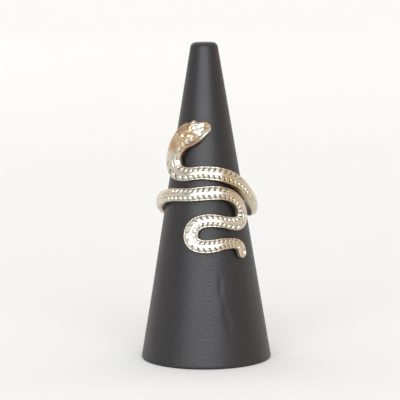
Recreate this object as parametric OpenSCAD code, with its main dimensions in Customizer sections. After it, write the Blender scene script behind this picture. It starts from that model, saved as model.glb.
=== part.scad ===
// A cast snake ring on the plain cone that shows it. Millimetres, Z up, front towards -Y.
// The origin is the middle of the cone's flat foot.

/* [Ring] */
// Inside diameter of the ring, about a US size 7 1/2
ring_bore = 17.7; // [17:0.1:18.4]
// Height of the casting's sharp outer edge above the inner face
rim_thickness = 0.8; // [0.6:0.05:0.9]
// Length of one rib, as a share of the body's width there
rib_pitch = 0.4; // [0.38:0.02:0.6]
// Depth of the grooves between the ribs
groove_depth = 0.22; // [0.1:0.02:0.3]
// How far the grooves fall back towards the edges, as a share of the way out
groove_sweep = 0.45; // [0:0.05:0.7]

/* [Head] */
// Distance from the snout to the eyes
eye_back = 2.6; // [2.4:0.1:3]
// Distance of each eye from the crest of the head
eye_side = 1.25; // [1:0.05:1.4]
// Height of the eye bumps
eye_rise = 0.42; // [0.2:0.02:0.5]
// How far the crest of the head leans towards its upper side
head_lean = 0.4; // [0:0.05:0.5]

/* [Cone] */
// Height of the display cone
cone_height = 63.5; // [60:0.5:70]
// Diameter of the cone at its foot
foot_d = 26.2; // [25.6:0.2:27]
// Diameter of the cone at its top
top_d = 5.2; // [4:0.2:6]
// Rounding of the edge at the top
top_round = 1.1; // [0.6:0.1:1.5]
// Rounding of the edge at the foot
foot_round = 0.4; // [0.2:0.1:0.8]

/* [Place of the ring] */
// How far the ring leans back, so that its front lies along the slope of the cone
ring_lean = 9.5; // [9:0.1:10]
// Room left and right between the ring and the cone at the ring's middle height
side_play = 0.89; // [0.86:0.01:1]
// Offset of the ring to the right on the cone
ring_right = 0.35; // [0:0.05:0.4]
// Offset of the ring to the back on the cone
ring_back = 0.45; // [0.42:0.01:0.5]

/* [Hidden] */

// Middle line of the snake, laid round the ring from the snout to the tail tip.
// Columns: angle round the finger in degrees (0 at the front, positive to the right),
// height above the middle of the ring, width of the casting, thickness at its crown.
route = [
    // snout and head
    [5.4, 15.05, 0.9, 0.8],
    [3.2, 14.9, 1.8, 1.15],
    [-1, 14.65, 2.5, 1.5],
    [-6, 14.25, 3.2, 1.75],
    [-12, 13.85, 4.1, 1.95],
    [-18.5, 13.5, 4.8, 2],
    [-25, 13, 4.7, 1.9],
    [-31, 12.3, 4.3, 1.75],
    [-36.5, 11.4, 4, 1.6],
    // neck
    [-41, 10.4, 3.85, 1.5],
    [-44, 9.2, 3.85, 1.45],
    [-44.3, 8, 3.85, 1.4],
    [-41.5, 6.8, 3.65, 1.4],
    [-36, 6.05, 3.3, 1.35],
    [-28, 5.65, 2.9, 1.3],
    // upper strand
    [-18, 5.65, 2.6, 1.3],
    [-6, 5.8, 2.6, 1.3],
    [5, 5.7, 2.7, 1.3],
    [17, 5.45, 2.75, 1.3],
    [28, 4.95, 2.75, 1.3],
    [38, 4.3, 2.6, 1.3],
    [48, 3.45, 2.4, 1.3],
    [58, 2.35, 2.5, 1.3],
    [70, 1.1, 2.5, 1.3],
    [80, 0.3, 2.6, 1.3],
    [92, -0.45, 2.8, 1.3],
    // shank behind the finger
    [108, -0.75, 3, 1.25],
    [135, -0.95, 2.8, 1.2],
    [180, -1, 2.4, 1.2],
    [215, -1, 2.4, 1.2],
    [235, -0.85, 2.4, 1.2],
    [250, -0.4, 2.5, 1.2],
    [262, 0.2, 2.6, 1.25],
    [273, 0.75, 2.65, 1.3],
    // lower strand
    [285, 1.15, 2.65, 1.3],
    [298, 1.45, 2.6, 1.3],
    [312, 1.62, 2.6, 1.3],
    [326, 1.57, 2.6, 1.3],
    [338, 1.53, 2.65, 1.3],
    [350, 1.65, 2.75, 1.3],
    [362, 1.8, 2.8, 1.3],
    [372, 1.83, 2.75, 1.3],
    [381, 1.7, 2.6, 1.3],
    [389, 1.35, 2.5, 1.3],
    // right bend
    [396, 0.75, 2.4, 1.3],
    [401.5, -0.05, 2.4, 1.3],
    [405, -0.95, 2.45, 1.3],
    [407, -1.9, 2.6, 1.3],
    [407.2, -2.8, 2.75, 1.3],
    [404.5, -3.6, 2.85, 1.3],
    [399, -4.1, 2.8, 1.3],
    [392, -4.15, 2.6, 1.3],
    // return strand
    [383, -3.95, 2.4, 1.3],
    [373, -3.68, 2.5, 1.3],
    [363, -3.6, 2.6, 1.3],
    [355, -3.75, 2.65, 1.3],
    // tail loop
    [349, -4.1, 2.75, 1.3],
    [344.5, -4.65, 2.9, 1.3],
    [341.5, -5.4, 3.05, 1.3],
    [340.2, -6.3, 3.1, 1.3],
    [340.7, -7.2, 3.05, 1.3],
    [343.5, -7.95, 2.85, 1.3],
    [348.5, -8.45, 2.7, 1.3],
    // tail
    [355, -8.7, 2.6, 1.25],
    [363, -8.68, 2.6, 1.2],
    [371, -8.48, 2.5, 1.2],
    [379, -8.2, 2.3, 1.15],
    [387, -8.05, 2.15, 1.1],
    [394, -8.05, 2.05, 1.1],
    // tail tip
    [400, -8.3, 2.1, 1.1],
    [404.5, -8.9, 2.2, 1.1],
    [406.8, -9.7, 2.1, 1.05],
    [408, -10.4, 1.9, 1],
    [408.6, -11, 1, 0.75]
];

// Half of the body's section, from its sharp outer edge to its crest.
// Columns: place as a share of half the width, way up from the rim to the crest (0 to 1),
// share of the groove depth that is cut there.
half_section = [
    [0.92, 0, 0],
    [0.8, 0.08, 0],
    [0.7, 0.42, 1],
    [0.55, 0.68, 1],
    [0.4, 0.82, 1],
    [0.28, 0.9, 0],
    [0, 1, 0]
];

// Start and end of a rib's flat top, as shares of the way from one groove to the next
rib_top = [0.3, 0.74];
// The smooth head ends, and the ribs begin, at this distance from the snout
head_end = 4.6;
// The grooves fade out over the shank: columns are angle round the finger and share of the depth
groove_fade = [[-60, 1], [70, 1], [100, 0], [262, 0], [290, 1], [450, 1]];
// Lean of the crest along the head: columns are distance from the snout and share of the lean
lean_fade = [[0, 0], [1.5, 1], [5.5, 1], [9, 0]];

// Radius of an eye bump
eye_radius = 0.75;
// Distances between sections where there are no ribs, and the length of the smooth tail tip
head_step = 0.3;
shank_step = 1.2;
tip_length = 1.6;
tip_steps = 4;
// The rim is never higher than this share of the crest, where the body is thin
rim_share = 0.75;
// The direction of the body is taken over this length before and after a place
smooth_reach = 0.9;
// Points on the smooth curve for each row of the route
spline_steps = 6;
// Points across the inner face, as shares of half the width
inner_places = [0.5, 0, -0.5];

bore_r = ring_bore / 2;
route_r = bore_r + rim_thickness;
slope = (foot_d - top_d) / 2 / cone_height;
ring_height = (foot_d / 2 - bore_r + side_play) / slope;

// The route rolled out flat: distance round the ring, height, width, thickness
flat_route = [for (row = route) [row[0] * PI / 180 * route_r, row[1], row[2], row[3]]];
last_row = len(flat_route) - 1;

function flat_gap(a, b) = norm([b[0] - a[0], b[1] - a[1]]);
function row_gap(i) = flat_gap(flat_route[i], flat_route[i + 1]);
function row_slope(i) =
    let (before = max(i - 1, 0), after = min(i + 1, last_row))
    (flat_route[after] - flat_route[before])
        / ((i > 0 ? row_gap(i - 1) : 0) + (i < last_row ? row_gap(i) : 0));

// A smooth curve through the rows, by cubic pieces that share their slopes
function curve_point(i, t) =
    let (gap = row_gap(i))
    flat_route[i] * (1 - t) * (1 - t) * (1 + 2 * t)
    + row_slope(i) * gap * t * (1 - t) * (1 - t)
    + flat_route[i + 1] * t * t * (3 - 2 * t)
    - row_slope(i + 1) * gap * t * t * (1 - t);

curve = concat(
    [for (i = [0:last_row - 1]) for (k = [0:spline_steps - 1]) curve_point(i, k / spline_steps)],
    [flat_route[last_row]]
);
curve_end = len(curve) - 1;
function step_on(i) = flat_gap(curve[i], curve[min(i + 1, curve_end)]);
distances = [for (i = 0, run = 0; i <= curve_end; run = run + step_on(i), i = i + 1) run];
body_length = distances[curve_end];

// The curve's columns against the distance from the snout
along = [for (column = [0:3]) [for (i = [0:curve_end]) [distances[i], curve[i][column]]]];

function place(d) = [lookup(d, along[0]), lookup(d, along[1])];
function width(d) = lookup(d, along[2]);
function thickness(d) = lookup(d, along[3]);
function angle(d) = lookup(d, along[0]) / route_r * 180 / PI;

// Unit vector across the body, to the left of the way from head to tail
function across(d) =
    let (way = place(min(d + smooth_reach, body_length)) - place(max(d - smooth_reach, 0)))
    [-way[1], way[0]] / norm(way);

// A point of the rolled-out casting, wrapped round the finger
function wrap(flat, rise) =
    let (turn = flat[0] / route_r * 180 / PI)
    [(bore_r + rise) * sin(turn), -(bore_r + rise) * cos(turn), flat[1]];

// Eye bumps on both sides of the crest, which rise and also stand out to the side
function eye_bump(d, side) =
    let (far = norm([d - eye_back, abs(side + head_lean) - eye_side]) / eye_radius)
    far < 1 ? eye_rise * sqrt(1 - far * far) : 0;

// Where a point of the section at one distance really lies: behind the head the sections are
// swept back towards the edges, as the grooves are
function swept(d, share) =
    d > head_end ? min(d + groove_sweep * abs(share) * width(d) / 2, body_length) : d;

// One point on the snake's back: distance from the snout, share of the half width, share of the
// way from rim to crest, groove cut
function back_point(d, share, up, cut) =
    let (
        lagged = swept(d, share),
        side = share * width(lagged) / 2 - head_lean * lookup(lagged, lean_fade) * (1 - share * share),
        crest = thickness(lagged),
        rim = min(rim_thickness, rim_share * crest),
        rise = rim + (crest - rim) * up - groove_depth * cut * lookup(angle(lagged), groove_fade),
        bump = eye_bump(lagged, side)
    )
    wrap(place(lagged) + across(lagged) * (side + sign(share) * bump), rise + bump);

// One point on the smooth inner face
function inner_point(d, share) =
    let (lagged = swept(d, share))
    wrap(place(lagged) + across(lagged) * share * width(lagged) / 2, 0);

// All points of one section: up the far side, over the crest, down the near side, back inside
function section_points(d, cut) = concat(
    [inner_point(d, -1)],
    [for (row = half_section) back_point(d, -row[0], row[1], cut * row[2])],
    [for (i = [len(half_section) - 2:-1:0])
        let (row = half_section[i]) back_point(d, row[0], row[1], cut * row[2])],
    [inner_point(d, 1)],
    [for (share = inner_places) inner_point(d, share)]
);
points_around = 2 * len(half_section) + 1 + len(inner_places);

// Rib starts from one distance to another, each a share of the width further on
function rib_starts(d, end) = d >= end ? [] : concat([d], rib_starts(d + rib_pitch * width(d), end));

// Where the plain shank behind the finger starts and ends
shank_angles = [95, 265];
shank_part = [for (d = distances) if (angle(d) > shank_angles[0] && angle(d) < shank_angles[1]) d];
shank_from = shank_part[0];
shank_to = shank_part[len(shank_part) - 1];
ribs_end = body_length - tip_length;

// Places of the sections, each with 1 in a groove and 0 on a rib
function rib_sections(starts) = [
    for (i = [0:len(starts) - 2])
        let (pitch = starts[i + 1] - starts[i])
        each [[starts[i], 1], [starts[i] + rib_top[0] * pitch, 0], [starts[i] + rib_top[1] * pitch, 0]]
];
sections = concat(
    [for (d = [0:head_step:head_end - head_step / 2]) [d, 0]],
    rib_sections(rib_starts(head_end, shank_from)),
    [for (d = [shank_from:shank_step:shank_to - shank_step / 2]) [d, 0]],
    rib_sections(rib_starts(shank_to, ribs_end)),
    [for (k = [0:tip_steps]) [ribs_end + k / tip_steps * tip_length, 0]]
);

// The whole snake, from snout to tail tip, as one closed skin
module snake_body() {
    rings = len(sections);
    skin = [for (section = sections) each section_points(section[0], section[1])];
    snout = len(skin);
    ends = [
        wrap(place(0), thickness(0) / 2),
        wrap(place(body_length), thickness(body_length) / 2)
    ];
    last = (rings - 1) * points_around;
    sides = [
        for (i = [0:rings - 2]) for (j = [0:points_around - 1])
            let (
                next = (j + 1) % points_around,
                a = i * points_around + j,
                b = i * points_around + next,
                c = (i + 1) * points_around + next,
                e = (i + 1) * points_around + j
            )
            each [[a, b, c], [a, c, e]]
    ];
    caps = [
        for (j = [0:points_around - 1])
            let (next = (j + 1) % points_around)
            each [[snout, next, j], [snout + 1, last + j, last + next]]
    ];
    polyhedron(points = concat(skin, ends), faces = concat(sides, caps), convexity = 12);
}

// The ring where it rests on the cone
module snake_ring() {
    color([0.79, 0.69, 0.52])
        translate([ring_right, ring_back, ring_height])
            rotate([-ring_lean, 0, 0])
                snake_body();
}

// Points of a rounded corner, from one angle to another
function corner(centre, r, from, to) = [
    for (k = [0:6])
        let (a = from + (to - from) * k / 6)
        centre + r * [cos(a), sin(a)]
];

// The display cone, solid, with rounded edges
module display_cone() {
    lean = atan(slope);
    foot_x = foot_d / 2 - foot_round * (1 + sin(lean)) / cos(lean);
    top_x = top_d / 2 - top_round * (1 - sin(lean)) / cos(lean);
    color([0.2, 0.2, 0.2])
        rotate_extrude($fn = 96)
            polygon(concat(
                [[0, 0]],
                corner([foot_x, foot_round], foot_round, -90, lean),
                corner([top_x, cone_height - top_round], top_round, lean, 90),
                [[0, cone_height]]
            ));
}

snake_ring();
display_cone();
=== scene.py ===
# %% [markdown]
# # A cast snake ring on its display cone
# The ring is one casting in a pale gold-tone alloy: a head, a ribbed body that winds round the
# finger, and a tail. It stands on a plain cone that is wrapped in black leatherette. The sizes
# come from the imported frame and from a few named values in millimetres. Blender's unit is the
# metre, so each piece is made in millimetres and scaled once, at the end.

# %% Load the frame
import math

import bpy
import numpy as np
from mathutils import Matrix, Vector


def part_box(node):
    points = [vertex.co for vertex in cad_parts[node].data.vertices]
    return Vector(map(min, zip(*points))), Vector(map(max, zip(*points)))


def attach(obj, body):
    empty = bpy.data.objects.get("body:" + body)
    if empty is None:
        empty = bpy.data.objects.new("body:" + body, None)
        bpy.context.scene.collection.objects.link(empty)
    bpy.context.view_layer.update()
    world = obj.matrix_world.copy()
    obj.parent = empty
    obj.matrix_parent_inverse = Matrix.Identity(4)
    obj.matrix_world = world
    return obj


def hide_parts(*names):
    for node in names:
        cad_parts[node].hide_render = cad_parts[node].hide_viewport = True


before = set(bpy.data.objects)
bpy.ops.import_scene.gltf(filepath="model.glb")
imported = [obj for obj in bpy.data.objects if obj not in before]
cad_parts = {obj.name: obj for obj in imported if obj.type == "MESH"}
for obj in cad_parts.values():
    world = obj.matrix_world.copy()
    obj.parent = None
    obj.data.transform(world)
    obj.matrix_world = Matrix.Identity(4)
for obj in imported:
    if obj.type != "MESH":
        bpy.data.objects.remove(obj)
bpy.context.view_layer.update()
MM = 0.001
cone_low, cone_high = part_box("display_cone")
print("nodes", sorted(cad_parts))
print("cone", [round(v / MM, 2) for v in cone_low], [round(v / MM, 2) for v in cone_high])

# %% [markdown]
# ## The camera
# The picture is taken from a little above the ring with a long lens, about 0.43 m away. The
# camera stands on a circle round the middle of the ring and looks at a point just beside it. A
# camera, a light or a mesh shows only once an object in the scene holds it, and a small
# function sees to that.

# %% Put a thing in the scene
def put_in_scene(name, data):
    """A new object in the scene that shows this mesh, light or camera."""
    thing = bpy.data.objects.new(name, data)
    bpy.context.scene.collection.objects.link(thing)
    return thing


# %% Camera
CAMERA_DISTANCE = 430
CAMERA_ELEVATION = math.radians(7.84)
CAMERA_ROLL = math.radians(-0.43)
CAMERA_CENTRE = Vector((0, 0, 31.3))
CAMERA_AIM = Vector((-1.04, 0, 31.91))
SENSOR_WIDTH = 36
FOCAL_PIXELS = 2146.3
IMAGE_PIXELS = 400

away = Vector((0, -math.cos(CAMERA_ELEVATION), math.sin(CAMERA_ELEVATION)))
camera_place = CAMERA_CENTRE + CAMERA_DISTANCE * away
forward = (CAMERA_AIM - camera_place).normalized()
level_right = forward.cross(Vector((0, 0, 1))).normalized()
level_up = level_right.cross(forward)
right = level_right * math.cos(CAMERA_ROLL) + level_up * math.sin(CAMERA_ROLL)
up = level_up * math.cos(CAMERA_ROLL) - level_right * math.sin(CAMERA_ROLL)
camera_turn = Matrix((right, up, -forward)).transposed().to_4x4()

camera_data = bpy.data.cameras.new("camera")
camera_data.sensor_width = SENSOR_WIDTH
camera_data.lens = FOCAL_PIXELS * SENSOR_WIDTH / IMAGE_PIXELS
camera_data.clip_start = 10 * MM
camera_data.clip_end = 10000 * MM
camera = put_in_scene("camera", camera_data)
camera.matrix_world = Matrix.Translation(camera_place * MM) @ camera_turn
bpy.context.scene.camera = camera
print("lens", round(camera_data.lens, 1), "mm")

# %% [markdown]
# ## The route of the snake
# A jeweller can roll the ring's wax out flat, and so does this script. The middle line of the
# body is a short table of places, laid round the finger by angle, with the width of the casting
# and its thickness at the crest. A smooth curve joins the rows. It could be drawn as a Bezier
# curve by hand, but a table keeps it the same as the part's own route, so that the fine model
# covers the plain one exactly.

# %% The route's rows
RING_BORE = 17.7
RIM_THICKNESS = 0.8
ROUTE_RADIUS = RING_BORE / 2 + RIM_THICKNESS

# Columns: angle round the finger in degrees (0 at the front, positive to the right), height
# above the middle of the ring, width of the casting, thickness at its crest.
ROUTE = [
    # snout and head
    (5.4, 15.05, 0.9, 0.8),
    (3.2, 14.9, 1.8, 1.15),
    (-1, 14.65, 2.5, 1.5),
    (-6, 14.25, 3.2, 1.75),
    (-12, 13.85, 4.1, 1.95),
    (-18.5, 13.5, 4.8, 2),
    (-25, 13, 4.7, 1.9),
    (-31, 12.3, 4.3, 1.75),
    (-36.5, 11.4, 4, 1.6),
    # neck
    (-41, 10.4, 3.85, 1.5),
    (-44, 9.2, 3.85, 1.45),
    (-44.3, 8, 3.85, 1.4),
    (-41.5, 6.8, 3.65, 1.4),
    (-36, 6.05, 3.3, 1.35),
    (-28, 5.65, 2.9, 1.3),
    # upper strand
    (-18, 5.65, 2.6, 1.3),
    (-6, 5.8, 2.6, 1.3),
    (5, 5.7, 2.7, 1.3),
    (17, 5.45, 2.75, 1.3),
    (28, 4.95, 2.75, 1.3),
    (38, 4.3, 2.6, 1.3),
    (48, 3.45, 2.4, 1.3),
    (58, 2.35, 2.5, 1.3),
    (70, 1.1, 2.5, 1.3),
    (80, 0.3, 2.6, 1.3),
    (92, -0.45, 2.8, 1.3),
    # shank behind the finger
    (108, -0.75, 3, 1.25),
    (135, -0.95, 2.8, 1.2),
    (180, -1, 2.4, 1.2),
    (215, -1, 2.4, 1.2),
    (235, -0.85, 2.4, 1.2),
    (250, -0.4, 2.5, 1.2),
    (262, 0.2, 2.6, 1.25),
    (273, 0.75, 2.65, 1.3),
    # lower strand
    (285, 1.15, 2.65, 1.3),
    (298, 1.45, 2.6, 1.3),
    (312, 1.62, 2.6, 1.3),
    (326, 1.57, 2.6, 1.3),
    (338, 1.53, 2.65, 1.3),
    (350, 1.65, 2.75, 1.3),
    (362, 1.8, 2.8, 1.3),
    (372, 1.83, 2.75, 1.3),
    (381, 1.7, 2.6, 1.3),
    (389, 1.35, 2.5, 1.3),
    # right bend
    (396, 0.75, 2.4, 1.3),
    (401.5, -0.05, 2.4, 1.3),
    (405, -0.95, 2.45, 1.3),
    (407, -1.9, 2.6, 1.3),
    (407.2, -2.8, 2.75, 1.3),
    (404.5, -3.6, 2.85, 1.3),
    (399, -4.1, 2.8, 1.3),
    (392, -4.15, 2.6, 1.3),
    # return strand
    (383, -3.95, 2.4, 1.3),
    (373, -3.68, 2.5, 1.3),
    (363, -3.6, 2.6, 1.3),
    (355, -3.75, 2.65, 1.3),
    # tail loop
    (349, -4.1, 2.75, 1.3),
    (344.5, -4.65, 2.9, 1.3),
    (341.5, -5.4, 3.05, 1.3),
    (340.2, -6.3, 3.1, 1.3),
    (340.7, -7.2, 3.05, 1.3),
    (343.5, -7.95, 2.85, 1.3),
    (348.5, -8.45, 2.7, 1.3),
    # tail
    (355, -8.7, 2.6, 1.25),
    (363, -8.68, 2.6, 1.2),
    (371, -8.48, 2.5, 1.2),
    (379, -8.2, 2.3, 1.15),
    (387, -8.05, 2.15, 1.1),
    (394, -8.05, 2.05, 1.1),
    # tail tip
    (400, -8.3, 2.1, 1.1),
    (404.5, -8.9, 2.2, 1.1),
    (406.8, -9.7, 2.1, 1.05),
    (408, -10.4, 1.9, 1),
    (408.6, -11, 1, 0.75),
]
print(len(ROUTE), "rows")

# %% [markdown]
# The curve through the rows is made of cubic pieces that share their slopes, with the same rule
# as the part's source.

# %% A smooth curve through the rows
SPLINE_STEPS = 24

flat = np.array(ROUTE, float)
flat[:, 0] = np.radians(flat[:, 0]) * ROUTE_RADIUS
gaps = np.hypot(*(flat[1:, :2] - flat[:-1, :2]).T)
slopes = np.vstack([flat[1:], flat[-1:]]) - np.vstack([flat[:1], flat[:-1]])
slopes = slopes / (np.r_[0, gaps] + np.r_[gaps, 0])[:, None]

t = np.arange(SPLINE_STEPS)[None, :, None] / SPLINE_STEPS
span = gaps[:, None, None]
pieces = (
    flat[:-1, None] * (1 - t) ** 2 * (1 + 2 * t)
    + slopes[:-1, None] * span * t * (1 - t) ** 2
    + flat[1:, None] * t ** 2 * (3 - 2 * t)
    - slopes[1:, None] * span * t ** 2 * (1 - t)
)
curve = np.vstack([pieces.reshape(-1, 4), flat[-1:]])
distances = np.r_[0, np.cumsum(np.hypot(*(curve[1:, :2] - curve[:-1, :2]).T))]
body_length = float(distances[-1])


def along(column, places):
    """A column of the curve (0 round, 1 height, 2 width, 3 crest) at distances from the snout."""
    return np.interp(places, distances, curve[:, column])


def changing(table, places):
    """A value that changes along the body, from a short table of (distance, value)."""
    return np.interp(places, *zip(*table))


print("body length", round(body_length, 1), "mm")

# %% [markdown]
# The skin gets a ring of points at each station along the curve: close together where the ribs
# are, and far apart on the plain shank behind. The stations also say how many ribs lie between
# them and the head, and how strongly the ribs are cut. A rib is a share of the body's width
# long, and has a longest length, so the ribs of the cheeks are as close as those of the body.

# %% Stations along the body
RIB_PITCH = 0.4
LONGEST_RIB = 1.33
FIRST_RIB = 3.35
HEAD_STEP = 0.07
FINE_STEP = 0.086
SHANK_STEP = 0.3
HEAD_TO = 9
SHANK_FROM, SHANK_TO = 38, 66
NOSE_LENGTH = 0.55
TIP_LENGTH = 0.7
# Shares of the width and of the crest that are left at the very ends
BLUNT_END = 0.02
END_CREST = 0.5

stations = np.r_[
    np.arange(0, HEAD_TO, HEAD_STEP),
    np.arange(HEAD_TO, SHANK_FROM, FINE_STEP),
    np.arange(SHANK_FROM, SHANK_TO, SHANK_STEP),
    np.arange(SHANK_TO, body_length, FINE_STEP),
    body_length,
]

# The nose and the tail tip end in a round
nose = np.clip(stations / NOSE_LENGTH, BLUNT_END, 1)
tip = np.clip((body_length - stations) / TIP_LENGTH, BLUNT_END, 1)
roundness = np.sqrt(1 - (1 - nose) ** 2) * np.sqrt(1 - (1 - tip) ** 2)
widths = along(2, stations) * roundness
crests = along(3, stations) * (END_CREST + (1 - END_CREST) * roundness)

# Number of ribs from the head
pitches = np.minimum(RIB_PITCH * along(2, distances), LONGEST_RIB)
rib_sum = np.r_[0, np.cumsum(np.diff(distances) / pitches[1:])]
ribs = np.interp(stations, distances, rib_sum) - np.interp(FIRST_RIB, distances, rib_sum)
print(len(stations), "stations,", round(float(ribs[-1])), "ribs")

# %% What changes along the body
# How strongly the ribs are cut on the left side and on the right side of a snake that looks at
# its own snout: not on the shank, and hardly on the outer side of the neck and of the bends
LEFT_RIBS = [
    (0, 0), (13, 0), (13.6, 1), (26, 1), (28.5, 0.25),
    (33, 0), (74, 0), (76, 1), (87, 1), (88.5, 0.15), (94.5, 0.15), (95.5, 1), (103.5, 1),
    (105, 0.45), (108.5, 0.45), (109.5, 1), (118, 1), (119.5, 0),
]
RIGHT_RIBS = [
    (0, 0), (9.5, 0), (12.5, 1), (32, 1), (36, 0), (72, 0), (74.5, 1), (103, 1), (105, 0.6),
    (108, 0.6), (109.5, 1), (117.5, 1), (119, 0),
]
# How strongly the fine lines are cut that run along the band, and those along the rim
BAND_LINES = [
    (0, 0), (11, 0), (13, 1), (33, 1), (38, 0), (66, 0), (67.5, 1), (118.5, 1), (119.8, 0),
]
RIM_LINES = [
    (0, 0), (0.6, 0), (1.2, 1.4), (8.5, 1.4), (10, 1), (33, 1), (38, 0), (66, 0), (67.5, 1),
    (118.5, 1), (119.8, 0),
]
# How much the back faces upwards, as a share of the usual tilt
UPWARD = [(0, -1), (1.4, -0.9), (2.8, 0), (3.6, 0), (4.5, -0.3), (8, -0.3), (12, 1), (121.4, 1)]
# How coppery the plate is along the body: 1 is a coppery tone, and above 1 it goes down to a
# darker copper. The darker copper on the back of the head is painted shade.
COPPER_TONE_AND_SHADE = [
    (0, 1), (1.4, 1), (2, 0.3), (3, 0.3), (3.7, 1.2), (5, 1.8), (8.5, 1.9), (10, 0.3),
    (22.5, 0.1), (24.5, 1.1), (30, 0.5), (37, 0.4), (66, 0.4), (76, 0.3), (80, 0.1), (85, 0.1),
    (87, 1.1), (91, 0.4), (97, 0.3), (101, 0.1), (112, 0.1), (115, 0.6), (121.4, 0.6),
]
# How far the foot of the right side is flared outwards, on the shank beside the bend
FLARE = [(0, 0), (26, 0), (30, 0.45), (37, 0.45), (42, 0), (121.4, 0)]
# How far the crest leans to the upper side along the head
HEAD_LEAN = [(0, 0), (1.2, 0.5), (5, 0.55), (9, 0)]
# How far the grooves fall back towards the edges, as a share of the way out
GROOVE_SWEEP = [(0, 0), (3, 0.3), (4.5, 0.45), (120, 0.45), (121.4, 0)]
print("tables from 0 to", COPPER_TONE_AND_SHADE[-1][0], "mm from the snout")

# %% The route as a mesh that carries these values
# The way along the body is read over a short reach, so that it turns smoothly
SMOOTH_REACH = 0.9

ahead = np.minimum(stations + SMOOTH_REACH, body_length)
behind = np.maximum(stations - SMOOTH_REACH, 0)
ways = np.stack([along(0, ahead) - along(0, behind), along(1, ahead) - along(1, behind)], 1)
ways = ways / np.linalg.norm(ways, axis=1)[:, None]
nothing = np.zeros(len(stations))

route_mesh = bpy.data.meshes.new("snake_route")
route_mesh.from_pydata(
    np.stack([along(0, stations), along(1, stations), nothing], 1).tolist(),
    [(i, i + 1) for i in range(len(stations) - 1)],
    [],
)
station_values = {
    "sizes": (widths, crests, changing(HEAD_LEAN, stations)),
    "across": (-ways[:, 1], ways[:, 0], ribs),
    "cut": (stations, changing(GROOVE_SWEEP, stations), changing(UPWARD, stations)),
    "sides": [changing(table, stations) for table in (LEFT_RIBS, RIGHT_RIBS, FLARE)],
    "lines": [changing(table, stations) for table in (BAND_LINES, RIM_LINES, COPPER_TONE_AND_SHADE)],
}
for name, values in station_values.items():
    layer = route_mesh.attributes.new(name, "FLOAT_VECTOR", "POINT")
    layer.data.foreach_set("vector", np.stack(values, 1).astype(np.float32).ravel())
snake = put_in_scene("snake", route_mesh)
print(3 * len(station_values), "values at each station")

# %% [markdown]
# ## Graphs of nodes
# Every modelling rule and every material below is a graph of nodes. One small function adds a
# node with its settings and its links, so that a graph reads from top to bottom like a recipe.

# %% Add a node
def add_node(tree, kind, sockets=(), points=(), soft=True, **settings):
    """Adds a node and returns it.

    sockets gives its inputs by place or name, each a value, a node or a node's output. points
    gives a curve node the points that its curve passes, softly or by straight lines.
    """
    node = tree.nodes.new(kind)
    for name, value in settings.items():
        setattr(node, name, value)
    for key, value in sockets.items() if isinstance(sockets, dict) else enumerate(sockets):
        if isinstance(value, bpy.types.Node):
            value = value.outputs[0]
        if isinstance(value, bpy.types.NodeSocket):
            tree.links.new(value, node.inputs[key])
        elif value is not None:
            node.inputs[key].default_value = value
    if points:
        curve = node.mapping.curves[0].points
        curve[0].location = points[0]
        curve[-1].location = points[-1]
        for x, y in points[1:-1]:
            curve.new(x, y)
        for point in curve:
            point.handle_type = "AUTO_CLAMPED" if soft else "VECTOR"
        node.mapping.update()
    return node


print(len(bpy.data.node_groups), "node groups so far")

# %% [markdown]
# ## Sculpted spots of the head
# The head has a round eye on each side and a crest of three scales between them. Furrows run
# beside the crest, a hollow and a slope lie behind the near eye, four scales sit on the near
# cheek, and a bump and a notch end the crest. The tail tip has a small cup. All of this could be
# pushed up with a sculpting brush, but rows in a table are easier to check and to change. One
# node group makes a soft spot from its place along and across the body, its half length and
# half width, its height, the way it faces and the width of its soft edge.

# %% The rows of the head
# Columns: distance from the snout, place across (negative on the upper side), half length,
# half width, height (below 0 for a hollow), how far it faces upwards (mm out for each mm
# across), width of its soft edge (0.3 is a plate with a steep edge, 1 a soft swell).
SPOT_COLUMNS = (
    "At Along", "At Across", "Half Length", "Half Width", "Height", "Facing", "Edge",
)
HEAD_SPOTS = [
    # flat top of the snout
    (0.8, -0.7, 0.6, 0.8, 0, -0.15, 0.8),
    # scales of the crest, and the grooves between them
    (1.8, -0.85, 0.55, 0.55, 0.04, -0.1, 0.7),
    (3.05, -0.8, 0.55, 0.55, 0.04, 0.08, 0.7),
    (4.1, -0.78, 0.3, 0.35, 0.04, 0.1, 0.8),
    (2.45, -0.8, 0.32, 0.6, -0.12, 0, 1),
    (3.68, -0.8, 0.25, 0.6, -0.1, 0, 1),
    # furrow between the crest and the near eye, and the hollow behind that eye
    (2.6, -0.1, 1.1, 0.35, -0.2, 0, 1),
    (3.75, 0.6, 0.45, 1, -0.2, 0, 1),
    # long hollow on the far side of the crest
    (4.8, -1.5, 1.4, 0.5, -0.1, 0, 1),
    # furrow between the crest and the far eye
    (2.4, -1.35, 1.1, 0.3, -0.15, 0, 1),
    # slope between the crest and the near cheek
    (5.1, 0.05, 0.9, 0.7, -0.05, 0.4, 0.9),
    # scales of the near cheek
    (4.5, 1, 0.5, 0.95, 0.15, 0.35, 0.6),
    (5.75, 1.05, 0.5, 0.95, 0.15, 0.35, 0.6),
    (7.05, 1.05, 0.5, 0.9, 0.15, 0.35, 0.6),
    (8.4, 0.85, 0.5, 0.85, 0.15, 0.35, 0.6),
    # bump and notch behind the crest
    (6, -0.28, 0.5, 0.45, 0.14, 0.2, 0.7),
    (6.1, -1, 0.4, 0.3, -0.22, 0, 1),
    # cup at the tail tip
    (120.15, 0, 0.75, 0.75, -0.5, 0, 0.8),
]
EYES = [
    (2.65, 0.7, 0.45, 0.5, 0.16, 0.3, 0.8),
    (2.7, -1.85, 0.9, 0.6, 0.38, 0, 1),
]
print(len(EYES), "eyes and", len(HEAD_SPOTS), "other spots")

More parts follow.
